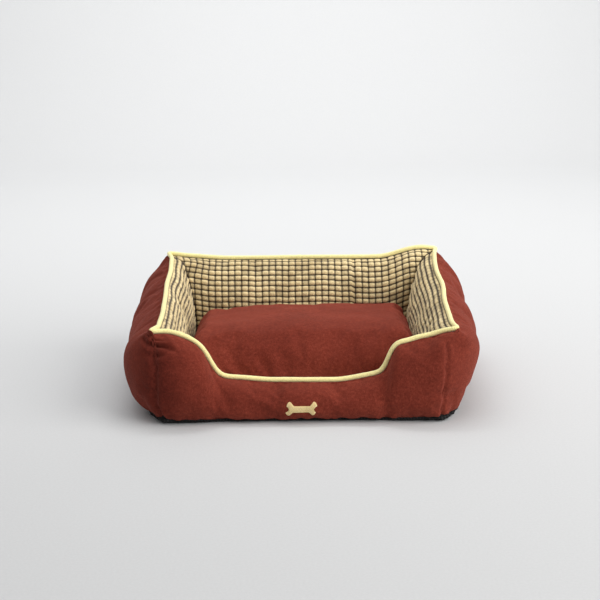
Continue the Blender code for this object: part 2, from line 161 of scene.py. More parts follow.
def grid_normals(points, behind):
    """Unit normals of a grid of points, on the side that faces away from what is behind it."""
    normal = unit(np.cross(np.gradient(points, axis=0), np.gradient(points, axis=1)))
    side = np.sum(normal * (points - behind), axis=-1, keepdims=True)
    return normal * (1 if np.mean(side) > 0 else -1)


def weights(place, size):
    """The four grid lines round a fractional place, and the strength of each in a smooth reading."""
    base = np.clip(np.floor(place).astype(int), 0, size - 2)
    part = np.clip(place - base, 0, 1)
    near = [np.clip(base + shift, 0, size - 1) for shift in (-1, 0, 1, 2)]
    square, cube = part**2, part**3
    strength = [
        -0.5 * cube + square - 0.5 * part,
        1.5 * cube - 2.5 * square + 1,
        -1.5 * cube + 2 * square + 0.5 * part,
        0.5 * cube - 0.5 * square,
    ]
    return list(zip(near, strength))


def sample(field, rows, columns):
    """A smooth reading of a grid at fractional rows and columns."""
    total = 0.0
    for row, row_weight in weights(rows, field.shape[0]):
        for column, column_weight in weights(columns, field.shape[1]):
            total = total + field[row, column] * (row_weight * column_weight)[..., None]
    return total


# Shape of the walls


def shoulder(x, place, softness, half_height):
    return half_height * (1 + np.tanh((x - place) / softness))


def front_line(x):
    """Height of the front wall's top seam: a low entry, a rounded left shoulder and a squarer right one."""
    right = 0.011 * ease(x, 0.05, 0.085) + shoulder(x, *RIGHT_SHOULDER)
    climb = np.clip((x - 0.158) / 0.095, 0, 1.1)
    right = right + 0.0185 * climb * step(3 * climb) + 0.0035 * ease(x, 0.205, 0.03)
    left = 0.005 * ease(-x, 0.05, 0.07) + shoulder(-x, *LEFT_SHOULDER)
    left = left + 0.021 * ease(-x, 0.15, 0.075)
    return ENTRY_LINE + np.where(x > 0, right, left)


def back_line(x):
    """Height of the back wall's top seam, which sags between its corners."""
    right = 0.0165 * ease(x, 0.14, 0.08) - 0.0055 * ease(x, 0.222, 0.028)
    return BACK_LINE + right + 0.007 * ease(-x, 0.13, 0.115)


def side_line(sign, y):
    """Height of a side wall's top seam, between the front's and the back's ears."""
    share = np.clip((y + SEAM_Y) / (2 * SEAM_Y), 0, 1)
    corner = np.array(sign * (SEAM_X + EAR))
    low, high = front_line(corner), back_line(corner)
    return low + (high - low) * share**SIDE_CURVE


def profile(turn, reach, foot, widest=WIDEST):
    """How far a wall stands from its top seam, and its height from 0 to 1, at a turn from 0 to 1."""
    angle = np.pi * turn
    upper = turn < 0.5
    out = np.where(upper, SEAM + (reach - SEAM) * np.sin(angle), foot + (reach - foot) * np.sin(angle))
    up = np.where(upper, widest + (1 - widest) * np.cos(angle), widest + widest * np.cos(angle))
    return out, up


def corner_x(outer, sign, turn):
    """Half the width between the corner seams of the outer walls, or between the lining's corner folds."""
    if outer:
        out, _ = profile(turn, SIDE_REACH, SIDE_FOOT)
        inset = np.where(sign > 0, 0.012, 0.006)
        return SEAM_X + EAR - (EAR + inset) * step(1.6 * (out - SEAM) / SIDE_REACH)
    out, _ = profile(turn, LINING_REACH, LINING_FOOT)
    return SEAM_X - out + EAR * (1 - step(2 * (out - SEAM) / LINING_REACH))


def lumps(points):
    """The uneven hand-stuffed shape, the flared ears of the top seam and the waver of its sides."""
    x, y, z = points[..., 0], points[..., 1], points[..., 2]
    to_right = x > 0
    moved = points.copy()
    away = unit(np.stack([x / 0.3, y / 0.22, 0 * z], -1) ** 3)
    moved += away * (0.0022 * ripple(points, 0.15, 3) * ease(z, 0.006, 0.045))[..., None]

    top = 0.145 + 0.045 * np.clip((y + SEAM_Y) / (2 * SEAM_Y), 0, 1)
    high = ease(z, top - 0.032, 0.03)
    from_ear = (np.abs(x) - (SEAM_X + EAR)) ** 2 + (np.abs(y) - SEAM_Y) ** 2
    ear = high * np.exp(-from_ear / (2 * 0.016**2))
    moved[..., 0] += np.where(to_right, 0.003, np.where(y > 0, -0.001, 0.005)) * ear
    moved[..., 1] += np.sign(y) * np.where(to_right, 0.009, 0.006) * ear
    moved[..., 2] += 0.0015 * ear

    inside = np.where(to_right, (0.165 - np.abs(y)) / 0.06, (0.171 - np.abs(y)) / 0.02)
    along_side = high * step(inside) * ease(np.abs(x), 0.15, 0.06)
    drawn_in = 0.005 + 0.005 * step((0.09 - y) / 0.24)
    waver = 0.0025 * np.sin((y + 0.02) * 2 * np.pi / 0.21) - 0.001
    moved[..., 0] += along_side * np.where(to_right, waver, drawn_in)

    right_foot = (1 - ease(z, 0.004, 0.125)) * ease(x, 0.2, 0.06)
    moved[..., 0] -= 0.014 * right_foot
    left_foot = (1 - ease(z, -0.004, 0.044)) * ease(-x, 0.19, 0.06) * ease(-y, 0.02, 0.16)
    moved[..., 0] += 0.018 * left_foot
    return moved


def front_or_back(wall, outer, side, turn):
    sign = np.sign(side)
    x = side * corner_x(outer, sign, turn)
    seam_x = side * corner_x(outer, sign, 0 * turn)
    seam_x = x + (seam_x - x) * ease(np.abs(side), 0.72, 0.28)
    reach, foot = (END_REACH, END_FOOT) if outer else (LINING_REACH, LINING_FOOT)
    if wall == "front":
        facing, top = -1, front_line(seam_x)
        # The wall is a little thinner where the entry is low.
        share = 0.84 + 0.16 * np.clip((top - ENTRY_LINE) / 0.075, 0, 1)
    else:
        facing, top, share = 1, back_line(seam_x), 1.0
    out, up = profile(turn, share * reach, share * foot)
    y = facing * (SEAM_Y + (out if outer else -out))
    return np.stack([x, y, WALL_BASE + (top - WALL_BASE) * up], -1)


def right_or_left(wall, outer, side, turn):
    sign = 1 if wall == "right" else -1
    reach, foot = (SIDE_REACH, SIDE_FOOT) if outer else (LINING_REACH, LINING_FOOT)
    raised = {"right": 0.25, "left": 0.2}[wall] if outer else 0.0
    raised = raised * step((1 - np.abs(side)) / 0.4) * (0.7 + 0.3 * ease(side, -0.75, 0.9))
    out, up = profile(turn, reach, foot, WIDEST + raised)
    end_out, _ = profile(turn, END_REACH if outer else LINING_REACH, END_FOOT if outer else LINING_FOOT)
    end_y = SEAM_Y + (end_out if outer else -end_out)
    y = side * end_y
    x_mid = SEAM_X + (out if outer else -out * (0.84 if wall == "left" else 1.0))
    run = np.minimum(0.03 + (0.08 * (out - SEAM) / reach if outer else 0), end_y)
    near = np.clip(1 - (end_y - np.abs(y)) / run, 0, 1) ** 2.5
    x = x_mid + (corner_x(outer, np.array(sign), turn) - x_mid) * near
    top = side_line(sign, side * SEAM_Y)
    return np.stack([sign * x, y, WALL_BASE + (top - WALL_BASE) * up], -1)


def surface(wall, outer, side, turn):
    """Points of a wall. side runs from -1 to 1 towards +X or +Y, turn from 0 at the top seam to 1."""
    side, turn = np.broadcast_arrays(np.asarray(side, float), np.asarray(turn, float))
    shape = front_or_back if wall in ENDS else right_or_left
    return lumps(shape(wall, outer, side, turn))


def foot_turn(wall, side):
    """Where the suede stops and the base cloth starts, which is higher at the corners."""
    half = 0.24 if wall in ENDS else 0.2
    near = np.exp(-((1 - np.abs(side)) * half / 0.02))
    middle = 0.905 if wall == "front" else 0.9
    return middle - 0.07 * near + 0.004 * np.sin(side * half * 2 * np.pi / 0.043)


# Meshes


def grid_faces(rows, columns, start=0):
    row, column = np.meshgrid(np.arange(rows - 1), np.arange(columns - 1), indexing="ij")
    first = start + row * columns + column
    return np.stack([first, first + columns, first + columns + 1, first + 1], -1).reshape(-1, 4)


def build(name, points, faces, uv=None, fields=()):
    """An object from points and faces, with an optional flat place for each point and named values."""
    used = np.unique(faces)
    place = np.full(len(points), -1)
    place[used] = np.arange(len(used))
    points, faces = points[used], place[faces]
    data = bpy.data.meshes.new(name)
    data.from_pydata(points.tolist(), [], faces.tolist())
    if uv is not None:
        layer = data.uv_layers.new(name="cloth")
        corner = np.empty(len(data.loops), int)
        data.loops.foreach_get("vertex_index", corner)
        layer.data.foreach_set("uv", uv[used][corner].astype(np.float32).ravel())
    for title, values in dict(fields).items():
        made = data.attributes.new(title, "FLOAT", "POINT")
        made.data.foreach_set("value", values[used].astype(np.float32))
    data.polygons.foreach_set("use_smooth", [True] * len(data.polygons))
    data.update()
    data.validate()
    made = bpy.data.objects.new(name, data)
    SCENE.collection.objects.link(made)
    return made


def closed(*parts):
    """Builds a closed mesh with its faces turned outwards."""
    made = build(*parts)
    mesh = bmesh.new()
    mesh.from_mesh(made.data)
    bmesh.ops.recalc_face_normals(mesh, faces=mesh.faces)
    if mesh.calc_volume(signed=True) < 0:
        bmesh.ops.reverse_faces(mesh, faces=mesh.faces)
    mesh.to_mesh(made.data)
    mesh.free()
    return made


def closed_pair(one, two):
    """Points and faces of the closed form between two grids of the same size, and the first one's rim."""
    rows, columns = one.shape[:2]
    count = rows * columns
    index = np.arange(count).reshape(rows, columns)
    rim = np.concatenate([index[:, 0], index[-1, 1:], index[-2::-1, -1], index[0, -2:0:-1]])
    after = np.roll(rim, -1)
    edge = np.stack([rim, after, after + count, rim + count], -1)
    back = grid_faces(rows, columns, count)[:, ::-1]
    faces = np.concatenate([grid_faces(rows, columns), back, edge])
    return np.concatenate([one.reshape(-1, 3), two.reshape(-1, 3)]), faces, rim


def sheet_from_grid(name, points, normals, thickness, uv, fields=()):
    """A cloth sheet with its thickness: the grid, a copy behind it, and the edge between them."""
    body, faces, _ = closed_pair(points, points - normals * thickness)
    doubled = {title: np.concatenate([values.ravel()] * 2) for title, values in dict(fields).items()}
    flat = np.concatenate([uv.reshape(-1, 2)] * 2)
    return closed(name, body, faces, flat, doubled)


def solid_between(name, one, two):
    points, faces, _ = closed_pair(one, two)
    return closed(name, points, faces, np.zeros((len(points), 2)))


def inflate(one, two, pressure, growth, cap, stiffness=5.0, frames=20):
    """How two grids move when the form between them is cloth under pressure, with its edges held."""
    points, faces, rim = closed_pair(one, two)
    made = closed("filling", points, faces)
    held = made.vertex_groups.new(name="held")
    edges = np.concatenate([rim, rim + one.shape[0] * one.shape[1]])
    held.add([int(corner) for corner in edges], 1.0, "REPLACE")
    cloth = made.modifiers.new("cloth", "CLOTH")
    settings = cloth.settings
    settings.quality = 5
    settings.mass = 0.3
    settings.tension_stiffness = settings.compression_stiffness = settings.shear_stiffness = stiffness
    settings.bending_stiffness = 0.05
    settings.vertex_group_mass = "held"
    settings.use_pressure = True
    settings.uniform_pressure_force = pressure
    settings.shrink_min = -growth
    settings.effector_weights.gravity = 0
    cloth.collision_settings.use_collision = False
    cloth.point_cache.frame_start = 1
    cloth.point_cache.frame_end = frames
    for moment in range(1, frames + 1):
        SCENE.frame_set(moment)
    seen = made.evaluated_get(bpy.context.evaluated_depsgraph_get()).data
    after = np.empty(len(points) * 3)
    seen.vertices.foreach_get("co", after)
    data = made.data
    bpy.data.objects.remove(made)
    bpy.data.meshes.remove(data)
    SCENE.frame_set(1)
    move = after.reshape(-1, 3) - points
    length = np.linalg.norm(move, axis=-1, keepdims=True)
    move *= np.minimum(1, cap / np.maximum(length, 1e-9))
    return move.reshape(2, *one.shape)


def relax(field, rounds):
    """Evens out a grid of moves, with its edges held."""
    field = field.copy()
    for _ in range(rounds):
        middle = (field[:-2, 1:-1] + field[2:, 1:-1] + field[1:-1, :-2] + field[1:-1, 2:]) / 4
        field[1:-1, 1:-1] = (field[1:-1, 1:-1] + middle) / 2
    return field


# Filling the walls

FILL_GRID = {"front": (101, 37), "back": (101, 41), "right": (81, 41), "left": (81, 41)}
MOVES = {}


def fill_walls():
    for wall in WALLS:
        rows, columns = FILL_GRID[wall]
        side = np.linspace(-1, 1, rows)[:, None]
        turn = np.linspace(0, 1, columns)[None, :]
        outer, inner = surface(wall, True, side, turn), surface(wall, False, side, turn)
        outer_move, inner_move = inflate(outer, inner, pressure=4.0, growth=0.03, cap=0.009)
        MOVES[wall] = (relax(outer_move, 2), relax(inner_move, 6) * 0.5)


def wall_points(wall, outer, side, turn):
    """The wall's surface after filling."""
    side, turn = np.broadcast_arrays(np.asarray(side, float), np.asarray(turn, float))
    move = MOVES[wall][0 if outer else 1]
    rows, columns = move.shape[:2]
    move = sample(move, (side + 1) / 2 * (rows - 1), turn * (columns - 1))
    return surface(wall, outer, side, turn) + move


def core_line(wall, points):
    """A point inside the filling beside each surface point."""
    core = points.copy()
    if wall in ENDS:
        core[..., 1] = -SEAM_Y if wall == "front" else SEAM_Y
    else:
        core[..., 0] = SEAM_X if wall == "right" else -SEAM_X
    core[..., 2] = 0.06
    return core


def wall_normals(wall, points):
    return grid_normals(points, core_line(wall, points))


# Materials


class Finish:
    """A material under construction."""

    def __init__(self, name):
        self.made = bpy.data.materials.new(name)
        self.made.use_nodes = True
        self.tree = self.made.node_tree
        self.shader = self.tree.nodes["Principled BSDF"]
        self.place = self.node("ShaderNodeTexCoord").outputs["Object"]

    def node(self, kind, **inputs):
        made = self.tree.nodes.new(kind)
        for name, value in inputs.items():
            self.set(made.inputs[name], value)
        return made

    def set(self, socket, value):
        if isinstance(value, bpy.types.NodeSocket):
            self.tree.links.new(value, socket)
        else:
            socket.default_value = value

    def noise(self, scale, detail=4.0, rough=0.6, stretch=None, distortion=0.0):
        """Noise over the object's own place, which stretch scales along each axis."""
        source = self.place
        if stretch:
            source = self.node("ShaderNodeMapping", Vector=source, Scale=stretch).outputs["Vector"]
        made = self.node("ShaderNodeTexNoise", Vector=source, Scale=scale, Detail=detail, Roughness=rough)
        made.inputs["Distortion"].default_value = distortion
        return made.outputs["Fac"]

    def ramp(self, value, *stops):
        made = self.node("ShaderNodeValToRGB", Fac=value)
        ramp = made.color_ramp
        while len(ramp.elements) < len(stops):
            ramp.elements.new(0.5)
        for element, (place, colour) in zip(ramp.elements, stops):
            element.position = place
            element.color = (*colour, 1)
        return made.outputs["Color"]

    def fill(self, made, values):
        """Sets a node's first inputs in turn."""
        for socket, value in zip(made.inputs, values):
            self.set(socket, value)
        return made.outputs[0]

    def maths(self, operation, *values):
        made = self.node("ShaderNodeMath")
        made.operation = operation
        return self.fill(made, values)

    def blend(self, one, one_share, two, two_share):
        """A weighted sum of two values."""
        return self.maths("MULTIPLY_ADD", one, one_share, self.maths("MULTIPLY", two, two_share))

    def span(self, *values):
        """Maps a value from one range, low to high, to another."""
        return self.fill(self.node("ShaderNodeMapRange"), values)

    def mix(self, amount, one, two, kind="MIX"):
        made = self.node("ShaderNodeMix")
        made.data_type = "RGBA"
        made.blend_type = kind
        self.set(made.inputs[0], amount)
        self.set(made.inputs[6], one)
        self.set(made.inputs[7], two)
        return made.outputs[2]

    def mottled(self, colour, amount, value, low, high):
        """The colour, darkened and lightened by a value; low and high are a place and a tint each."""
        return self.mix(amount, colour, self.ramp(value, low, high), "MULTIPLY")

    def field(self, name):
        made = self.node("ShaderNodeAttribute")
        made.attribute_name = name
        return made.outputs["Fac"]

    def uv(self):
        made = self.node("ShaderNodeUVMap")
        made.uv_map = "cloth"
        return made.outputs[0]

    def weave(self, pitch):
        """Crossing threads over the cloth's own measure: 1 on a thread's crown, 0 between threads."""
        parts = self.node("ShaderNodeSeparateXYZ", Vector=self.uv())
        turns = [self.maths("MULTIPLY", parts.outputs[axis], 2 * math.pi / pitch) for axis in "XY"]
        waves = [self.maths("SINE", turn) for turn in turns]
        return self.maths("MULTIPLY_ADD", self.maths("MULTIPLY", *waves), 0.5, 0.5)

    def bumps(self, *layers):
        """Relief from several layers, each a value, a height and a strength, one on top of another."""
        normal = None
        for value, height, strength in layers:
            below = {"Normal": normal} if normal else {}
            made = self.node("ShaderNodeBump", Height=value, Strength=strength, Distance=height, **below)
            normal = made.outputs["Normal"]
        return normal

    def end(self, colour, roughness, normal=None, **values):
        """Sets the shader's own sockets."""
        inputs = self.shader.inputs
        self.set(inputs["Base Color"], colour)
        self.set(inputs["Roughness"], roughness)
        if normal:
            self.set(inputs["Normal"], normal)
        inputs["Sheen Weight"].default_value = values.get("sheen", 0.0)
        inputs["Sheen Roughness"].default_value = values.get("sheen_rough", 0.5)
        inputs["Sheen Tint"].default_value = (*values.get("sheen_tint", (1, 1, 1)), 1)
        inputs["Specular IOR Level"].default_value = values.get("specular", 0.3)
        inputs["Metallic"].default_value = values.get("metallic", 0.0)
        return self.made


def suede(name, tone=1.0):
    """Short brushed nap: patches where it lies the other way, mottling, grain and paler worn seams,
    darkened by painted shade where a panel marks it.
    """
    made = Finish(name)
    patches = made.noise(11, 3.0, 0.55, distortion=0.6)
    mottle = made.noise(210, 5.0, 0.75)
    streaks = made.noise(1.0, 4.0, 0.75, stretch=(700, 700, 210))
    grain = made.noise(1500, 2.0, 0.8)
    dark = (0.108 * tone, 0.016 * tone, 0.0088 * tone)
    middle = (0.16 * tone, 0.025 * tone, 0.014 * tone)
    pale = (0.225 * tone, 0.04 * tone, 0.023 * tone)
    nap = made.blend(patches, 0.34, mottle, 0.66)
    fine = made.blend(streaks, 0.55, grain, 0.45)
    colour = made.ramp(nap, (0.34, dark), (0.5, middle), (0.66, pale))
    colour = made.mottled(colour, 0.75, fine, (0.33, (0.45, 0.42, 0.4)), (0.68, (1.65, 1.72, 1.78)))
    # Painted shade: where the panel's painted-shade value is high, the colour is darkened by up to half.
    shaded = made.mix(1.0, colour, (0.5, 0.42, 0.42, 1), "MULTIPLY")
    colour = made.mix(made.field("hollow"), colour, shaded)
    worn = made.maths("MULTIPLY", made.field("wear"), made.span(mottle, 0.4, 0.65, 0.25, 1.0))
    worn_colour = (0.3 * tone, 0.07 * tone, 0.048 * tone, 1)
    colour = made.mix(made.maths("MULTIPLY", worn, 0.3), colour, worn_colour)
    rough = made.span(nap, 0.3, 0.7, 0.82, 0.96)
    normal = made.bumps((mottle, 0.0014, 0.55), (fine, 0.0006, 0.9))
    return made.end(colour, rough, normal, sheen=0.22, sheen_tint=(1.0, 0.3, 0.22), specular=0.1)


def plush():
    """Cut pile in raised bubbles: pale tips, and a dark brown in the grooves that is partly the roots
    showing and partly painted shade.
    """
    made = Finish("corn_plush")
    fibres = made.noise(900, 3.0, 0.75)
    tufts = made.noise(260, 3.0, 0.6)
    patches = made.noise(16, 2.0, 0.5)
    ragged = made.maths("ADD", made.field("bubble"), made.maths("MULTIPLY_ADD", tufts, 0.3, -0.15))
    tips = made.ramp(patches, (0.35, (0.66, 0.51, 0.26)), (0.65, (0.88, 0.71, 0.39)))
    tips = made.mottled(tips, 0.65, fibres, (0.32, (0.6, 0.57, 0.52)), (0.66, (1.28, 1.3, 1.33)))
    # Where the value is low the colour goes to the roots' brown, darkened further as painted shade.
    depth = made.ramp(ragged, (0.32, (0, 0, 0)), (0.58, (0.34, 0.34, 0.34)), (0.86, (1, 1, 1)))
    colour = made.mix(depth, (0.026, 0.012, 0.005, 1), tips)
    rough = made.span(fibres, 0.3, 0.7, 0.86, 1.0)
    normal = made.bumps((tufts, 0.0012, 0.6), (fibres, 0.0008, 0.9))
    tint = (1.0, 0.93, 0.8)
    return made.end(colour, rough, normal, sheen=0.35, sheen_rough=0.6, sheen_tint=tint, specular=0.1)


def woven(name, pale, dark, pitch, height, roughness, sheen=0.1, soil=0.25):
    """A plain weave over the cloth's own measure, with uneven threads and faint soiling."""
    made = Finish(name)
    threads = made.weave(pitch)
    slub = made.noise(420, 3.0, 0.6)
    soiled = made.noise(22, 4.0, 0.6)
    colour = made.mix(threads, (*dark, 1), (*pale, 1))
    colour = made.mottled(colour, 0.5, slub, (0.35, (0.8, 0.78, 0.75)), (0.65, (1.12, 1.12, 1.12)))
    dirt = (*[0.55 * part for part in pale], 1)
    colour = made.mix(made.span(soiled, 0.45, 0.75, 0.0, soil), colour, dirt)
    rough = made.span(threads, 0, 1, min(1, roughness + 0.08), roughness)
    normal = made.bumps((slub, 0.0004, 0.4), (threads, height, 0.9))
    return made.end(colour, rough, normal, sheen=sheen, specular=0.2)


def fibre():
    """Loose hollow polyester fibre."""
    made = Finish("fibre_fill")
    wisps = made.noise(1.0, 6.0, 0.7, stretch=(70, 190, 120), distortion=2.5)
    strands = made.noise(1.0, 4.0, 0.8, stretch=(300, 1200, 500), distortion=3.0)
    colour = made.ramp(wisps, (0.3, (0.62, 0.61, 0.58)), (0.7, (0.88, 0.875, 0.85)))
    rough = made.span(strands, 0.3, 0.7, 0.8, 1.0)
    normal = made.bumps((wisps, 0.004, 0.7), (strands, 0.001, 0.8))
    return made.end(colour, rough, normal, sheen=0.5, sheen_rough=0.4, specular=0.2)


def non_slip(dot_pitch=0.005):
    """Black felted base cloth with a rubber dot every few millimetres."""
    made = Finish("non_slip_cloth")
    felt = made.noise(700, 4.0, 0.8)
    dust = made.noise(60, 4.0, 0.65)
    dots = made.node("ShaderNodeTexVoronoi", Vector=made.uv(), Scale=1 / dot_pitch, Randomness=0.0)
    dot = made.span(dots.outputs["Distance"], 0.24, 0.32, 1.0, 0.0)
    colour = made.ramp(felt, (0.3, (0.004, 0.004, 0.0045)), (0.7, (0.014, 0.013, 0.013)))
    colour = made.mix(made.span(dust, 0.52, 0.8, 0.0, 0.25), colour, (0.045, 0.038, 0.034, 1))
    colour = made.mix(dot, colour, (0.014, 0.014, 0.015, 1))
    rough = made.span(dot, 0, 1, 0.95, 0.6)
    normal = made.bumps((felt, 0.0007, 0.8), (dot, 0.0004, 0.9))
    return made.end(colour, rough, normal, sheen=0.04, specular=0.2)


def satin_thread():
    """Rayon embroidery thread with a long gloss across each stitch. Its colour carries painted shade
    between the stitches and at the bone's edge, and a painted highlight on each stitch's crown.
    """
    made = Finish("satin_thread")
    twist = made.noise(1.0, 3.0, 0.6, stretch=(2600, 2600, 900))
    stops = ((0.0, (0.42, 0.25, 0.08)), (0.45, (0.93, 0.7, 0.32)), (1.0, (1.0, 0.88, 0.52)))
    colour = made.ramp(made.field("strand"), *stops)
    colour = made.mottled(colour, 0.4, twist, (0.3, (0.8, 0.78, 0.74)), (0.7, (1.1, 1.1, 1.1)))
    rough = made.span(twist, 0.3, 0.7, 0.3, 0.46)
    return made.end(colour, rough, made.bumps((twist, 0.0002, 0.5)), sheen=0.1, specular=0.6)


def zinc():
    """Plated die casting, dulled and finely scratched."""
    made = Finish("plated_zinc")
    stain = made.noise(160, 5.0, 0.6)
    scratch = made.noise(1.0, 3.0, 0.8, stretch=(300, 4000, 2500))
    colour = made.ramp(stain, (0.3, (0.36, 0.34, 0.31)), (0.7, (0.6, 0.58, 0.54)))
    rough = made.span(scratch, 0.35, 0.7, 0.22, 0.5)
    return made.end(colour, rough, made.bumps((scratch, 0.00008, 0.6)), specular=0.5, metallic=0.95)


def nylon():
    made = Finish("zip_nylon")
    wear = made.noise(500, 3.0, 0.6)
    colour = made.ramp(wear, (0.3, (0.06, 0.012, 0.009)), (0.7, (0.12, 0.027, 0.02)))
    rough = made.span(wear, 0.3, 0.7, 0.28, 0.5)
    return made.end(colour, rough, made.bumps((wear, 0.0001, 0.5)), specular=0.5)


# Each finish is a material and a slot. A woven cloth has its threads' colour, the colour between them,
# their pitch, their relief and their roughness.
YELLOW = ((1.0, 0.93, 0.45), (0.94, 0.81, 0.34), 0.0011, 0.0002, 0.72)
UNDYED = ((0.8, 0.78, 0.7), (0.45, 0.42, 0.34), 0.0009, 0.0003, 0.9)
MAROON = ((0.09, 0.018, 0.013), (0.03, 0.006, 0.005), 0.0008, 0.00015, 0.8)
SUEDE = suede("maroon_suede"), "suede"
# Painted light: the seat's copy of the suede is a little lighter, for the light that falls on its top.
LIGHTER_SEAT_SUEDE = suede("seat_suede_painted_lighter", 1.02), "suede"
PLUSH = plush(), "plush"
PIPING = woven("yellow_cotton", *YELLOW, sheen=0.5, soil=0.04), "piping_cotton"
CORD = woven("cord_cotton", *UNDYED), "cord"
FIBRE = fibre(), "fibre"
NON_SLIP = non_slip(), "non_slip"
THREAD = satin_thread(), "thread"
ZINC = zinc(), "zip_zinc"
NYLON = nylon(), "zip_teeth"
TAPE = woven("zip_tape", *MAROON), "zip_tape"


def piece(made, finish, body="bed"):
    """Gives a piece its material and body. It stands for the frame node of its own name."""
    material, slot = finish
    made.data.materials.append(material)
    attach(made, body)
    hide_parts(made.name.split(".")[0])
    return made


# Outer walls


def ear_folds(from_end, down):
    """How deep the folds below the left front ear are, over the panel."""
    depth = 0 * down
    for start, slope, length, width, deep in EAR_FOLDS:
        off = (down - start - slope * from_end) / width
        depth = depth + deep * np.exp(-(off**2)) * (1 - step(from_end / length))
    return depth


def left_front_end(wall, side):
    """1 at the end of a wall that meets the left front seam, the one that is drawn in hardest."""
    start = {"front": 0.6, "left": 0.5}.get(wall)
    return 0 * side if start is None else ease(-side, start, 0.3)


def outer_panel(wall):
    """A filled suede panel, puckered where it is gathered into its seams."""
    rows, columns = (251, 93) if wall in ENDS else (221, 93)
    # The rows lie closer together towards the panel's ends, where the folds are.
    crowding = 1.25
    side = np.sin(np.linspace(-1, 1, rows)[:, None] * crowding) / math.sin(crowding)
    turn = np.linspace(0, 1, columns)[None, :] * foot_turn(wall, side)
    points = wall_points(wall, True, side, turn)
    normals = wall_normals(wall, points)
    down, along = run_along(points, 1), run_along(points, 0)
    from_foot = down[:, -1:] - down
    from_end = np.minimum(along, along[-1:] - along)
    place = np.stack([along, down], -1)
    seed = WALLS.index(wall)
    drawn = left_front_end(wall, side)

    gathers = tucks(place, (1, 0.25), 0.016, 20 + seed, down, 0.011, 0.0009)
    gathers = gathers + tucks(place, (1, 0.3), 0.021, 30 + seed, from_foot, 0.016, 0.0016)
    gathers = gathers + tucks(place, (0.22, 1), 0.024, 40 + seed, from_end, 0.02, 0.0019)
    gathers = gathers + ripple(place, 0.075, 50 + seed) * 0.0005
    folded = tucks(place, (0.35, 1), 0.013, 60 + seed, from_end, 0.022, np.exp(-down / 0.045))
    gathers = gathers + drawn * (0.0012 * folded - ear_folds(from_end, down))
    hold = step(down / 0.003) * step(from_end / 0.004) * step(from_foot / 0.003)
    pinch = 0.0026 * (1 - step(from_end / 0.008)) + 0.0012 * (1 - step(from_foot / 0.006))
    pinch = pinch + 0.003 * drawn * (1 - step(from_end / 0.012))
    points = points + normals * (gathers * hold - pinch)[..., None]
    normals = wall_normals(wall, points)

    wear = np.exp(-down / 0.006) + np.exp(-from_end / 0.007) * 0.8 + np.exp(-from_foot / 0.01) * 0.7
    # Painted shade: darkness in the hollow by the left front seam, and over the whole left panel, which
    # faces away from the key light.
    hollow = drawn * np.exp(-((from_end / 0.04) ** 2)) * step(down / 0.03)
    if wall == "left":
        hollow = np.maximum(hollow, 0.42)
    fields = {"wear": np.clip(wear, 0, 1), "hollow": hollow}
    made = sheet_from_grid(f"outer_{wall}_panel", points, normals, SUEDE_THICK, place, fields)
    return piece(made, SUEDE)


# Plush lining


def knots(size, pattern, low, high):
    """Places from low to high, at the pattern's shares of every cell."""
    first, last = math.floor(low / size), math.ceil(high / size)
    places = [(cell + part) * size for cell in range(first, last) for part in pattern]
    places = np.array(places + [last * size])
    return places[(places >= low - 1e-9) & (places <= high + 1e-9)]


def from_middle(places, size):
    """How far each place lies from the middle of its cell: 0 at the middle, 1 in the groove."""
    return np.abs(2 * np.mod(places / size + 1e-6, 1) - 1)


def diagonal_cross(points, faces):
    corners = points[faces]
    return np.cross(corners[:, 2] - corners[:, 0], corners[:, 3] - corners[:, 1])


def lining_normals(wall, points, side, turn):
    """Normals that point into the well, also where the sheet is gathered to nothing at a corner."""
    smooth_points = wall_points(wall, False, np.clip(side, -0.995, 0.995), np.clip(turn, 0.004, 0.996))
    normals = wall_normals(wall, points)
    normals = unit(np.where(np.isfinite(normals), normals, 0) + 1e-9)
    inward = smooth_points - core_line(wall, smooth_points)
    lost = np.sum(normals * inward, axis=-1) < 0.002
    return np.where(lost[..., None], unit(inward), normals)


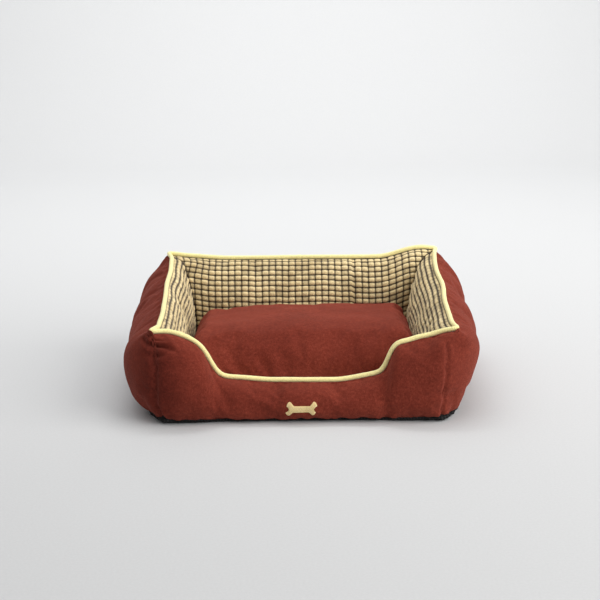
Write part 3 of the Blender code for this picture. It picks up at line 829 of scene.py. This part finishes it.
def lining(wall):
    """Bubbled plush over the well side of a wall. Its rows follow the top seam up to the corner folds."""
    ends, seed = wall in ENDS, WALLS.index(wall)
    wide, tall = BUBBLE
    reach = 0.252 if ends else 0.176
    across = knots(wide, ACROSS_KNOTS, -reach, reach)
    fine = np.linspace(0, 1, 161)
    spread = np.stack([across, 0 * across], -1)
    pulled = (across + 0.001 * ripple(spread, 0.11, 60 + seed))[:, None]

    def half_width(turn):
        if ends:
            return corner_x(False, np.sign(pulled), turn)
        return SEAM_Y - profile(turn, LINING_REACH, LINING_FOOT)[0]

    def place(turn):
        return np.clip(pulled / half_width(turn), -1, 1)

    length = run_along(wall_points(wall, False, place(fine[None, :]), fine[None, :]), 1)
    down = knots(tall, DOWN_KNOTS, 0, length[:, -1].max() + tall)
    drift = 0.0009 * ripple(spread, 0.09, 70 + seed)
    if wall == "back":
        drift = drift + 0.0032 * ease(across, CREASE_X - 0.003, 0.006)
    wanted = down[None, :] + drift[:, None] - tall * 0.35
    turn = np.stack([np.interp(row, total, fine) for row, total in zip(wanted, length)])
    side = place(turn)
    points = wall_points(wall, False, side, turn)
    normals = lining_normals(wall, points, side, turn)

    in_across, in_down = from_middle(across, wide)[:, None], from_middle(down, tall)[None, :]
    dome_across = np.sqrt(np.clip(1 - in_across**2.8, 0, 1))
    dome_down = np.sqrt(np.clip(1 - in_down**2.6, 0, 1))
    # On the side walls the bubbles run together into ridges.
    split, crest = (0.75, 1.0) if ends else (0.35, 0.92)
    dome = dome_down * (1 - split + split * dome_across)
    cell = np.floor(across / wide + 1e-6)[:, None] * 37 + np.floor(down / tall + 1e-6)[None, :] * 101
    plump = np.random.default_rng(80 + seed).uniform(0.66, 1.16, 4096)[np.mod(cell.astype(int), 4096)]
    rise = dome * plump * (BUBBLE_HEIGHT * crest) * (0.45 + 0.55 * step(wanted / 0.012)) - BUBBLE_SUNK
    if wall == "back":
        rise = rise - 0.003 * np.exp(-np.abs(across[:, None] - CREASE_X) / 0.0035)
    spare = half_width(turn) - np.abs(pulled)
    beyond = spare <= 1e-6
    from_fold = np.where(beyond, 0, np.maximum(0, spare))
    hold = step(from_fold / 0.004) * step((wanted + 0.0005) / 0.0025)
    points = (points + normals * (rise * hold)[..., None]).reshape(-1, 3)

    faces = grid_faces(*turn.shape)
    past, above = beyond | (wanted > length[:, -1:]), wanted < 0
    gone = past.ravel()[faces].all(axis=1) | above.ravel()[faces].all(axis=1)
    size = np.linalg.norm(diagonal_cross(points, faces), axis=-1)
    faces = faces[~gone & (size > 1e-10)]
    middle = faces[len(faces) // 2]
    if np.dot(diagonal_cross(points, middle[None])[0], normals.reshape(-1, 3)[middle].mean(axis=0)) < 0:
        faces = faces[:, ::-1]
    # Painted shade, with the roots' own brown: darkest where grooves cross, along the rows on the side
    # walls, near the corner folds and the top seam, and on flatter bubbles.
    crossing = 0.6 * in_across**5 + 0.64 * in_down**4 if ends else 0.22 * in_across**6 + 0.86 * in_down**2.6
    shade = np.clip((1 - crossing) * (0.35 + 0.65 * hold) * (0.45 + 0.5 * plump), 0, 1)
    uv = np.stack(np.broadcast_arrays(across[:, None], down[None, :]), -1).reshape(-1, 2)
    made = build(f"{wall}_lining", points, faces, uv, {"bubble": shade.ravel()})
    return piece(made, PLUSH)


def bolster_fill(wall):
    """The fibre inside a wall, just clear of its cloth."""
    rows, columns = FILL_GRID[wall]
    side = np.linspace(-0.975, 0.975, rows)[:, None]
    turn = np.linspace(0.06, 0.94, columns)[None, :]
    grids = []
    for outer in (True, False):
        points = wall_points(wall, outer, side, turn)
        normals = wall_normals(wall, points)
        points = points - normals * (FILL_INSET + 0.001 * ripple(points, 0.03, 90))[..., None]
        points[..., 2] = np.maximum(points[..., 2], 0.006)
        grids.append(points)
    return piece(solid_between(f"{wall}_bolster_fill", *grids), FIBRE)


# Piping


def seam_path():
    """The middle of the piping, once round from the middle of the back, evenly spaced."""
    runs = (("back", 0, -1), ("left", 1, -1), ("front", -1, 1), ("right", -1, 1), ("back", 1, 0))
    ring = []
    for wall, first, last in runs:
        side = np.linspace(first, last, 241)
        seam = (wall_points(wall, True, side, 0 * side) + wall_points(wall, False, side, 0 * side)) / 2
        ring.append(seam[1:] if ring else seam)
    soft = even(np.concatenate(ring), PIPING_STEP)
    for _ in range(8):
        soft[1:-1] = (soft[:-2] + 2 * soft[1:-1] + soft[2:]) / 4
    forward = unit(np.gradient(soft, axis=0))
    lift = np.array([0, 0, 1.0]) - forward * forward[:, 2:3]
    return soft + unit(lift) * (PIPING_RADIUS - 0.0008)


def tube(name, path, radius, around=20):
    """A round tube along a line. radius has one value, or one for each point."""
    forward = unit(np.gradient(path, axis=0))
    up = unit(np.array([0, 0, 1.0]) - forward * forward[:, 2:3])
    aside = np.cross(forward, up)
    angle = np.linspace(0, 2 * np.pi, around + 1)[None, :, None]
    radius = np.broadcast_to(radius, len(path))[:, None, None]
    ring = path[:, None] + (aside[:, None] * np.cos(angle) + up[:, None] * np.sin(angle)) * radius
    uv = np.stack(np.broadcast_arrays(run_along(path)[:, None], angle[..., 0] * radius[..., 0]), -1)
    return closed(name, ring.reshape(-1, 3), grid_faces(*ring.shape[:2]), uv.reshape(-1, 2))


def piping():
    path = seam_path()
    place = np.arange(len(path)) * PIPING_STEP
    spread = np.stack([place, 0 * place], -1)
    radius = PIPING_RADIUS * (1 + 0.025 * ripple(spread, 0.018, 5) + 0.02 * ripple(spread, 0.006, 6))
    # The end that covers the join is a little thicker.
    radius = radius * (1 + 0.12 * step((0.009 - place) / 0.003))
    radius[:2] *= (0.8, 1.0)
    piece(tube("piping_cover", path, radius), PIPING)
    piece(tube("piping_cord", path[2:-2:2], PIPING_RADIUS - 0.0017, 12), CORD)


# Base


def base_cloth():
    """Black cloth under the bed, turned up and gathered, with its edge tucked in behind the suede."""
    share = np.linspace(0, 1, 9)[None, :]
    loop = []
    for wall, first, count in (("front", -1, 161), ("right", -1, 121), ("back", 1, 161), ("left", 1, 121)):
        side = np.linspace(first, -first, count)[:-1][:, None]
        start = foot_turn(wall, side) - 0.04
        loop.append(wall_points(wall, True, side, start + (1 - start) * share))
    rim = np.concatenate(loop)
    around = run_along(rim[:, -1])
    outward = unit(rim * (1 - 0.72, 1 - 0.66, 0))
    from_corner = np.abs(rim[:, :1, :2]) - (0.235, 0.195)
    corner = np.exp(-np.sum((from_corner / 0.035) ** 2, axis=-1))
    gathers = ripple(np.stack([around, 0 * around], -1), 0.012, 11)[:, None] * (0.0008 + 0.0022 * corner)
    bulge = np.sin(np.pi * share) * (0.0006 + 0.003 * corner)
    tucked_in = (0.003 + 0.003 * corner) * (1 - ease(share, 0.12, 0.22))
    gathers = gathers * np.sin(np.pi * np.clip(share + 0.15, 0, 1))
    rim = rim + outward * (gathers + bulge - tucked_in)[..., None]
    rim[..., 2] -= 0.0006 * (1 - share)

    under = 0.0004
    foot = rim[:, -1]
    down = [rim]
    for drop, inset in ((0.6, 0.0005), (0.9, 0.0025)):
        turned = foot - outward[:, -1] * inset
        turned[:, 2] = foot[:, 2] * (1 - drop) + under * drop
        down.append(turned[:, None])
    for part in (0.9, 0.72, 0.5, 0.25, 0.02):
        inner = turned * part
        inner[:, 2] = under
        down.append(inner[:, None])
    points = np.concatenate(down, axis=1)
    count, columns = points.shape[:2]
    faces = grid_faces(count + 1, columns)
    faces = np.where(faces >= count * columns, faces - count * columns, faces)
    points = points.reshape(-1, 3)
    made = build("base_panel", points, faces, points[:, :2])
    thick = made.modifiers.new("cloth", "SOLIDIFY")
    thick.thickness = BASE_CLOTH_THICK
    thick.offset = 0
    return piece(made, NON_SLIP)


def full_grid(rows, columns):
    """Two grids that run from -1 to 1 along the rows and along the columns."""
    return np.meshgrid(np.linspace(-1, 1, rows), np.linspace(-1, 1, columns), indexing="ij")


def floor_pieces():
    """The wadding and the suede over it, under the seat."""
    _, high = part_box("base_lining")
    x, y = full_grid(141, 101)
    place = np.stack([x * high.x, y * high.y], -1)
    edge = np.minimum(high.x - np.abs(place[..., 0]), high.y - np.abs(place[..., 1]))
    wave = ripple(place, 0.09, 12) * 0.0007 + ripple(place * (1, 0.4), 0.03, 13) * 0.0004
    z = high.z - 0.0009 + wave - 0.0012 * np.exp(-edge / 0.004)
    points = np.concatenate([place, z[..., None]], -1)
    normals = grid_normals(points, points - (0, 0, 1))
    made = sheet_from_grid("base_lining", points, normals, 0.0011, place, {"wear": np.exp(-edge / 0.01)})
    top = points[::2, ::2] - (0, 0, 0.0016)
    bottom = top.copy()
    bottom[..., 2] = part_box("base_wadding")[0].z
    return piece(made, SUEDE), piece(solid_between("base_wadding", top, bottom), FIBRE)


# Embroidered bone


def bone_half_height(along):
    """Half the bone's height over along from -1 to 1."""
    lobe = 0.005 + 0.0057 * ease(np.abs(along), 0.48, 0.3)
    return lobe * np.sqrt(np.clip(1 - 0.8 * np.clip((np.abs(along) - 0.78) / 0.22, 0, 1) ** 2, 0, 1))


def motif():
    """Satin stitches side by side over a padded bone, with its edge tucked down into the suede."""
    low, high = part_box("front_motif")
    middle_x = (low.x + high.x) / 2 - 0.003
    along, rise = full_grid(STITCHES * 4 + 1, 27)
    dent = 0.005 * (1 - rise**2) * np.abs(along) ** 6
    x = middle_x + np.sign(along) * (np.abs(along) * BONE_HALF - dent) + rise * 0.0011
    wall_length = (ENTRY_LINE - WALL_BASE) * WIDEST * math.pi
    base = wall_points("front", True, x / SEAM_X, BONE_TURN - rise * bone_half_height(along) / wall_length)
    normals = wall_normals("front", base)
    thread = np.abs(np.sin(np.pi * STITCHES * (along + 1) / 2))
    edge = 1 - np.abs(rise)
    pad = 0.0013 * np.sqrt(np.clip(1 - rise**2 * 0.96, 0, 1)) * (1 - np.abs(along) ** 24)
    lift = 0.0009 + pad + 0.00042 * thread * step(edge / 0.15)
    fringe = (np.abs(rise) >= 0.999) | (np.abs(along) >= 0.999)
    lift = np.where(fringe, -0.0008, lift)
    # Painted shade and highlight for the thread: 0 between stitches, lower near the bone's edge, 1 on each
    # stitch's crown.
    fields = {"strand": thread * (0.35 + 0.65 * step(edge / 0.2))}
    points = base + normals * lift[..., None]
    made = sheet_from_grid("front_motif", points, normals, 0.0005, np.stack([along, rise], -1), fields)
    return piece(made, THREAD)


# Seat cushion


def seat_face(top, along, deep):
    """The upper or lower face of the cushion before it is filled, over -1 to 1 each way."""
    across, back = np.sin(np.pi / 2 * along), np.sin(np.pi / 2 * deep)
    to_right, to_back = across > 0, back > 0
    x = (SEAT_HALF_X + np.where(to_right, 0, 0.005)) * across * (1 - 0.01 * back**2)
    half_y = (SEAT_BACK - SEAT_FRONT) / 2
    y = (SEAT_FRONT + SEAT_BACK) / 2 + half_y * back * (1 - 0.01 * across**4)
    # The panels meet in the seam, and stand apart where the zip lies between them.
    slot = 0.0002 + 0.0002 * np.abs(across * back) ** 8
    at_zip = np.where(back > 0.9999, step((ZIP_LENGTH / 2 + 0.003 - np.abs(x)) / 0.01), 0)
    slot = slot + (0.0043 - slot) * at_zip
    if not top:
        full = np.sqrt(np.clip(1 - across**6, 0, 1) * np.clip(1 - back**6, 0, 1))
        return np.stack([x, y, SEAT_SEAM - slot - (0.034 - slot) * full], -1)
    full = np.clip(1 - np.abs(across) ** np.where(to_right, 40, 26), 0, 1) ** 0.36
    full_deep = np.clip(1 - np.abs(back) ** np.where(to_back, 9.0, 2.8), 0, 1)
    full = full * full_deep ** np.where(to_back, 0.36, 0.5)
    crown = 0.072 * (1 - np.where(to_right, 0.06, 0.22) * across**2)
    return np.stack([x, y, SEAT_SEAM + slot + (crown - slot) * full], -1)


def keep_in_well(points):
    """Holds the cushion's sides clear of the lining round it, and its underside on the base."""
    low = (-0.2, SEAT_FRONT - 0.0012, FLOOR_TOP + 0.0006)
    return np.clip(points, low, (0.1955, SEAT_BACK + 0.0045, 1.0))


def seat():
    """The cushion: two suede panels sewn round the edge, filled, and a fibre filling."""
    rows, columns = 89, 61
    faces = [seat_face(top, *full_grid(rows, columns)) for top in (True, False)]
    moves = [0 * faces[0], 0 * faces[1]]
    moves = inflate(*faces, pressure=4.5, growth=0.035, cap=0.008)
    moves = [relax(moves[0], 2), relax(moves[1], 4)]
    side, depth = full_grid(221, 151)
    middle = np.array([0, (SEAT_FRONT + SEAT_BACK) / 2, SEAT_SEAM])
    made, inner = [], []
    for top, move in zip((True, False), moves):
        move = sample(move, (side + 1) / 2 * (rows - 1), (depth + 1) / 2 * (columns - 1))
        points = keep_in_well(seat_face(top, side, depth) + move)
        normals = grid_normals(points, middle)
        along, down = run_along(points, 0), run_along(points, 1)
        from_x = np.minimum(along, along[-1:] - along)
        from_y = np.minimum(down, down[:, -1:] - down)
        from_edge = np.minimum(from_x, from_y)
        place = np.stack([along, down], -1)
        gathers = tucks(place, (0.25, 1), 0.02, 100 + top, from_x, 0.02, 0.0018)
        gathers = gathers + tucks(place, (1, 0.25), 0.02, 102 + top, from_y, 0.018, 0.0016)
        gathers = gathers + ripple(place, 0.085, 104 + top) * 0.0008
        gathers = gathers + ripple(place, 0.036, 106 + top) * 0.0003
        points = points + normals * (gathers * step(from_edge / 0.006))[..., None]
        points[..., 2] = np.maximum(points[..., 2], FLOOR_TOP + 0.0006)
        normals = grid_normals(points, middle)
        name = "cushion_top_panel" if top else "cushion_bottom_panel"
        wear = {"wear": np.exp(-from_edge / 0.006)}
        panel = sheet_from_grid(name, points, normals, SEAT_SUEDE_THICK, place, wear)
        made.append(piece(panel, LIGHTER_SEAT_SUEDE, "cushion"))
        inside = (points - normals * 0.0035)[::2, ::2]
        inner.append((inside - middle) * (0.975, 0.965, 1.0) + middle)
    inner[0][..., 2] = np.maximum(inner[0][..., 2], SEAT_SEAM + 0.0003)
    inner[1][..., 2] = np.minimum(inner[1][..., 2], SEAT_SEAM - 0.0003)
    return (*made, piece(solid_between("cushion_fill", *inner), FIBRE, "cushion"))


# Zip


def tooth_faces():
    """Faces of a tooth of four rings of eight points, with its ends closed."""
    faces = []
    for start in (0, 8, 16):
        for part in range(8):
            after = (part + 1) % 8
            faces.append([start + part, start + after, start + 8 + after, start + 8 + part])
    for start in (0, 24):
        faces += [[start + corner for corner in cap] for cap in ((0, 1, 2, 3), (0, 3, 4, 7), (4, 5, 6, 7))]
    return np.array(faces)


def zip_fastener():
    """Woven tapes and interlocked coil teeth."""
    low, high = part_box("zip_teeth")
    middle = np.array([0, (low.y + high.y) / 2, (low.z + high.z) / 2])
    index = np.arange(int(ZIP_LENGTH / TOOTH_PITCH) - 2)
    x = -ZIP_LENGTH / 2 + TOOTH_PITCH * (index + 1.5)
    centre = middle + np.stack([x, 0 * x, np.where(index % 2, 1, -1) * 0.00022], -1)
    turn = np.linspace(0, 2 * np.pi, 9)[:-1]
    round_x, round_y = np.cos(turn) * 0.00056, np.sin(turn) * 0.00074
    rings = ((-1, 0.55), (-0.6, 1.0), (0.6, 1.0), (1, 0.55))
    tooth = [np.stack([round_x * size, round_y * size, 0 * turn + z * 0.0009], -1) for z, size in rings]
    tooth = np.concatenate(tooth)
    points = (centre[:, None] + tooth).reshape(-1, 3)
    faces = (tooth_faces() + len(tooth) * index[:, None, None]).reshape(-1, 4)
    piece(closed("zip_teeth", points, faces), NYLON, "cushion")
    tapes = []
    for name, side in (("zip_tape_upper", 1), ("zip_tape_lower", -1)):
        x, share = full_grid(161, 13)
        x, share = x / 2 * ZIP_LENGTH, (share + 1) / 2
        out = 0.0015 + share * 0.0115
        z = middle[2] + side * np.where(out < 0.0042, out, 0.0042 + (out - 0.0042) * 0.12)
        y = middle[1] - 0.0002 - np.maximum(0, out - 0.004) * 0.95
        y = y + 0.00012 * np.sin(x * 2 * np.pi / 0.013) * ease(share, 0.22, 0.15)
        grid = np.stack([x, y, z], -1)
        normals = grid_normals(grid, grid - (0, 1, 0))
        tape = sheet_from_grid(name, grid, normals, 0.0005, np.stack([x, out], -1))
        tapes.append(piece(tape, TAPE, "cushion"))
    return tapes


def squarish(angle, across, up):
    """A rounded rectangle's outline. The lower its two powers, the squarer it is."""
    c, s = np.cos(angle), np.sin(angle)
    return np.stack([np.sign(c) * np.abs(c) ** across, np.sign(s) * np.abs(s) ** up], -1)


def slider():
    """A cast slider body with a bridge, and the pull tab that hangs on the bridge."""
    low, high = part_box("zip_slider")
    pull_low, pull_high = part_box("zip_pull")
    middle_x, middle_z = (low.x + high.x) / 2, (low.z + high.z) / 2
    bottom, face = low.y + 0.0001, pull_low.y - 0.0003
    along = np.linspace(0, 1, 25)
    width = 0.0033 * (0.72 + 0.28 * np.sin(np.pi * np.clip(along * 0.9 + 0.15, 0, 1)))
    end = np.sqrt(np.maximum(0.02, 1 - (2 * along - 1) ** 8))
    outline = squarish(np.linspace(0, 2 * np.pi, 33), 0.45, 0.45)
    x = np.broadcast_to((low.x + (high.x - low.x) * along)[:, None], (25, 33))
    y = (bottom + face) / 2 + (face - bottom) / 2 * end[:, None] * outline[:, 1]
    z = middle_z + (width * end)[:, None] * outline[:, 0]
    body = np.stack([x, y, z], -1).reshape(-1, 3)

    top = high.y - 0.0004
    bow = [(-0.0009, face - 0.0003), (-0.0009, top - 0.0003), (-0.0006, top)]
    bow += [(-x, y) for x, y in bow[::-1]]
    line = even(np.array([(middle_x + x, y, middle_z) for x, y in bow]), 0.0002)
    aside = unit(np.cross(unit(np.gradient(line, axis=0)), (0, 0, 1.0)))
    angle = np.linspace(0, 2 * np.pi, 13)[None, :, None]
    loop = line[:, None] + (aside[:, None] * np.cos(angle) + np.array([0, 0, 1.0]) * np.sin(angle)) * 0.0004
    faces = np.concatenate([grid_faces(25, 33), grid_faces(len(line), 13, len(body))])
    made = closed("zip_slider", np.concatenate([body, loop.reshape(-1, 3)]), faces)
    piece(made, ZINC, "slider")

    angle = np.linspace(0, 2 * np.pi, 65)[:-1]
    middle = np.array([(pull_low.x + pull_high.x) / 2, middle_z])
    half = np.array([pull_high.x - pull_low.x, pull_high.z - pull_low.z]) / 2
    outline = middle + half * squarish(angle, 0.35, 0.45)
    hole = np.array([middle_x, middle_z]) + np.array([0.0015, 0.0012]) * squarish(angle, 0.6, 0.6)
    soft = (outline - outline.mean(axis=0)) * (0.975, 0.9) + outline.mean(axis=0)
    near, far = pull_low.y, pull_high.y
    rounding = 0.00018
    layers = [(near, soft), (near + rounding, outline), (far - rounding, outline), (far, soft)]
    layers += [(far, hole), (near, hole)]
    tab = np.array([np.stack([shape[:, 0], 0 * angle + y, shape[:, 1]], -1) for y, shape in layers])
    grid = np.arange(tab.shape[0] * tab.shape[1]).reshape(tab.shape[:2])
    above = np.roll(grid, -1, axis=0)
    faces = np.stack([grid, np.roll(grid, -1, axis=1), np.roll(above, -1, axis=1), above], -1)
    piece(closed("zip_pull", tab.reshape(-1, 3), faces.reshape(-1, 4)), ZINC, "slider")


# Studio

BED_MIDDLE = (0, 0, 0.08)
BACKDROP = (0, 3.8, 1.6)
# Name, place, size, watts, colour and the point that each light faces.
LIGHTS = (
    ("key", (2.6, -1.2, 2.0), 3.0, 102.0, (1.0, 0.985, 0.965), BED_MIDDLE),
    ("front", (1.6, -3.0, 1.4), 2.4, 15.0, (1, 1, 1), BED_MIDDLE),
    ("top", (-0.7, 0.3, 2.9), 3.4, 37.0, (1, 1, 1), BED_MIDDLE),
    ("wash", (0, 1.2, 3.4), 2.5, 112.0, (1, 1, 1), BACKDROP),
)


def sweep():
    """A pale paper floor that bends up into a backdrop."""
    turn = np.linspace(0, np.pi / 2, 25)[1:]
    line = [(y, 0.0) for y in np.linspace(-4.0, 2.2, 12)]
    line += [(2.2 + 1.6 * math.sin(angle), 1.6 - 1.6 * math.cos(angle)) for angle in turn]
    line += [(3.8, z) for z in np.linspace(1.9, 6.0, 8)]
    points = np.array([[(x, y, z) for y, z in line] for x in np.linspace(-6, 6, 9)])
    made = build("studio_sweep", points.reshape(-1, 3), grid_faces(9, len(line))[:, ::-1])
    made.location.z = -0.0004
    paper = Finish("studio_paper")
    tooth = paper.noise(260, 4.0, 0.6)
    colour = paper.ramp(tooth, (0.3, (0.575, 0.58, 0.585)), (0.7, (0.605, 0.61, 0.615)))
    made.data.materials.append(paper.end(colour, 0.9, specular=0.1))


def lights():
    """The lamps, and a white world that is brighter where the camera sees past the paper."""
    for name, place, size, power, colour, target in LIGHTS:
        data = bpy.data.lights.new(name, "AREA")
        data.energy = power
        data.size = size
        data.color = colour
        lamp = bpy.data.objects.new(name, data)
        lamp.location = place
        lamp.rotation_euler = (Vector(target) - Vector(place)).to_track_quat("-Z", "Y").to_euler()
        SCENE.collection.objects.link(lamp)
    world = bpy.data.worlds.new("studio")
    world.use_nodes = True
    nodes, links = world.node_tree.nodes, world.node_tree.links
    nodes["Background"].inputs["Color"].default_value = (1.0, 1.0, 1.0, 1)
    seen = nodes.new("ShaderNodeMapRange")
    seen.inputs["To Min"].default_value = 0.32
    seen.inputs["To Max"].default_value = 0.8
    links.new(nodes.new("ShaderNodeLightPath").outputs["Is Camera Ray"], seen.inputs["Value"])
    links.new(seen.outputs[0], nodes["Background"].inputs["Strength"])
    SCENE.world = world


def camera():
    lift = math.radians(17)
    data = bpy.data.cameras.new("camera")
    data.lens = 75.46
    data.sensor_width = 36
    data.shift_x = -0.0042
    data.shift_y = 0.0547
    made = bpy.data.objects.new("camera", data)
    back = Vector((0, -math.cos(lift), math.sin(lift)))
    made.location = Vector((0, 0, 0.09)) + back * 2.216
    made.rotation_mode = "QUATERNION"
    roll = Quaternion((0, 0, 1), math.radians(CAMERA_ROLL))
    made.rotation_quaternion = (-back).to_track_quat("-Z", "Y") @ roll
    SCENE.collection.objects.link(made)
    SCENE.camera = made
    SCENE.view_settings.view_transform = "Standard"


fill_walls()
panels = {wall: outer_panel(wall) for wall in WALLS}
linings = {wall: lining(wall) for wall in WALLS}
fills = {wall: bolster_fill(wall) for wall in WALLS}
piping()
base = base_cloth()
floor_cloth, wadding = floor_pieces()
bone = motif()
seat_top, seat_bottom, seat_fill = seat()
tapes = zip_fastener()
slider()
sweep()
lights()
camera()
